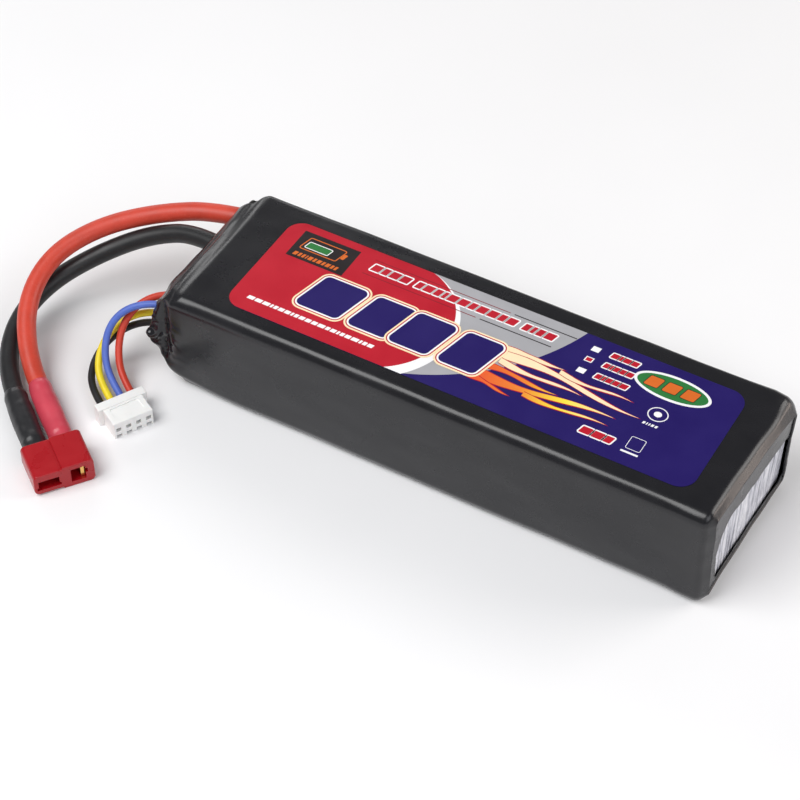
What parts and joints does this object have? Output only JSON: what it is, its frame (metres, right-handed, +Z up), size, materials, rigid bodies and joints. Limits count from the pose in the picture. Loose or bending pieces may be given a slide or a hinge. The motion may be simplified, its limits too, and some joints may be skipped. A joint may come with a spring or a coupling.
{
  "type": "lithium polymer battery pack",
  "caption": "Flat rectangular battery pack in black shrink film with a printed label, two heavy leads to a two-blade plug and a thin-wire balance lead to a small white connector",
  "frame": {"origin": "centre of the underside of the pack body, on the surface it lies on, leads not counted", "axes": "+X along the pack towards its closed taped end, leads leave at -X; +Y across the pack; +Z up through its thickness"},
  "size_m": [0.1763, 0.0869, 0.0281],
  "materials": {
    "sleeve_film": "shrunk PVC film, satin black",
    "label_print": "printed self-adhesive label, laminated",
    "strapping_tape": "ribbed glass-filament tape",
    "stiff_plate": "glass-epoxy protective plate",
    "pouch_foil": "laminated pouch foil, silver",
    "cell_adhesive": "double-sided tissue tape",
    "tab_metal": "nickel strip",
    "seal_polymer": "translucent sealing polymer",
    "board_laminate": "glass-epoxy board with solder mask",
    "copper_pad": "gold-flashed copper foil",
    "solder_metal": "bright solder",
    "cover_card": "black insulating card",
    "lead_red": "matt silicone rubber, red",
    "lead_black": "matt silicone rubber, black",
    "copper_strand": "tinned copper strand",
    "shrink_red": "shrunk polyolefin tube, red",
    "shrink_black": "shrunk polyolefin tube, black",
    "plug_nylon": "moulded nylon, red",
    "gold_contact": "gold-plated contact",
    "sense_red": "PVC-type wire skin, red",
    "sense_blue": "PVC-type wire skin, blue",
    "sense_yellow": "PVC-type wire skin, yellow",
    "sense_black": "PVC-type wire skin, black",
    "socket_nylon": "moulded nylon, natural white",
    "terminal_metal": "tin-plated stamped terminal"
  },
  "bodies": {
    "root": {"shrink_sleeve": "sleeve_film", "label": "label_print", "filament_tape": "strapping_tape", "plate_top": "stiff_plate", "plate_bottom": "stiff_plate", "cell_bottom": "pouch_foil", "cell_middle": "pouch_foil", "cell_top": "pouch_foil", "cell_pad_lower": "cell_adhesive", "cell_pad_upper": "cell_adhesive", "cell_tab_bottom_negative": "tab_metal", "cell_tab_bottom_positive": "tab_metal", "cell_tab_middle_negative": "tab_metal", "cell_tab_middle_positive": "tab_metal", "cell_tab_top_negative": "tab_metal", "cell_tab_top_positive": "tab_metal", "tab_seals_bottom": "seal_polymer", "tab_seals_middle": "seal_polymer", "tab_seals_top": "seal_polymer", "tab_board": "board_laminate", "bus_pad_b0": "copper_pad", "bus_pad_b1": "copper_pad", "bus_pad_b2": "copper_pad", "bus_pad_b3": "copper_pad", "balance_pads": "copper_pad", "solder_joints": "solder_metal", "plug_solder": "solder_metal", "end_cover": "cover_card", "main_lead_positive": "lead_red", "main_lead_negative": "lead_black", "main_core_positive": "copper_strand", "main_core_negative": "copper_strand", "balance_core_red": "copper_strand", "balance_core_blue": "copper_strand", "balance_core_yellow": "copper_strand", "balance_core_black": "copper_strand", "heat_shrink_positive": "shrink_red", "heat_shrink_negative": "shrink_black", "plug_housing": "plug_nylon", "plug_contact_positive": "gold_contact", "plug_contact_negative": "gold_contact", "balance_lead_red": "sense_red", "balance_lead_blue": "sense_blue", "balance_lead_yellow": "sense_yellow", "balance_lead_black": "sense_black", "balance_housing": "socket_nylon", "balance_terminal_red": "terminal_metal", "balance_terminal_blue": "terminal_metal", "balance_terminal_yellow": "terminal_metal", "balance_terminal_black": "terminal_metal"}
  },
  "joints": []
}
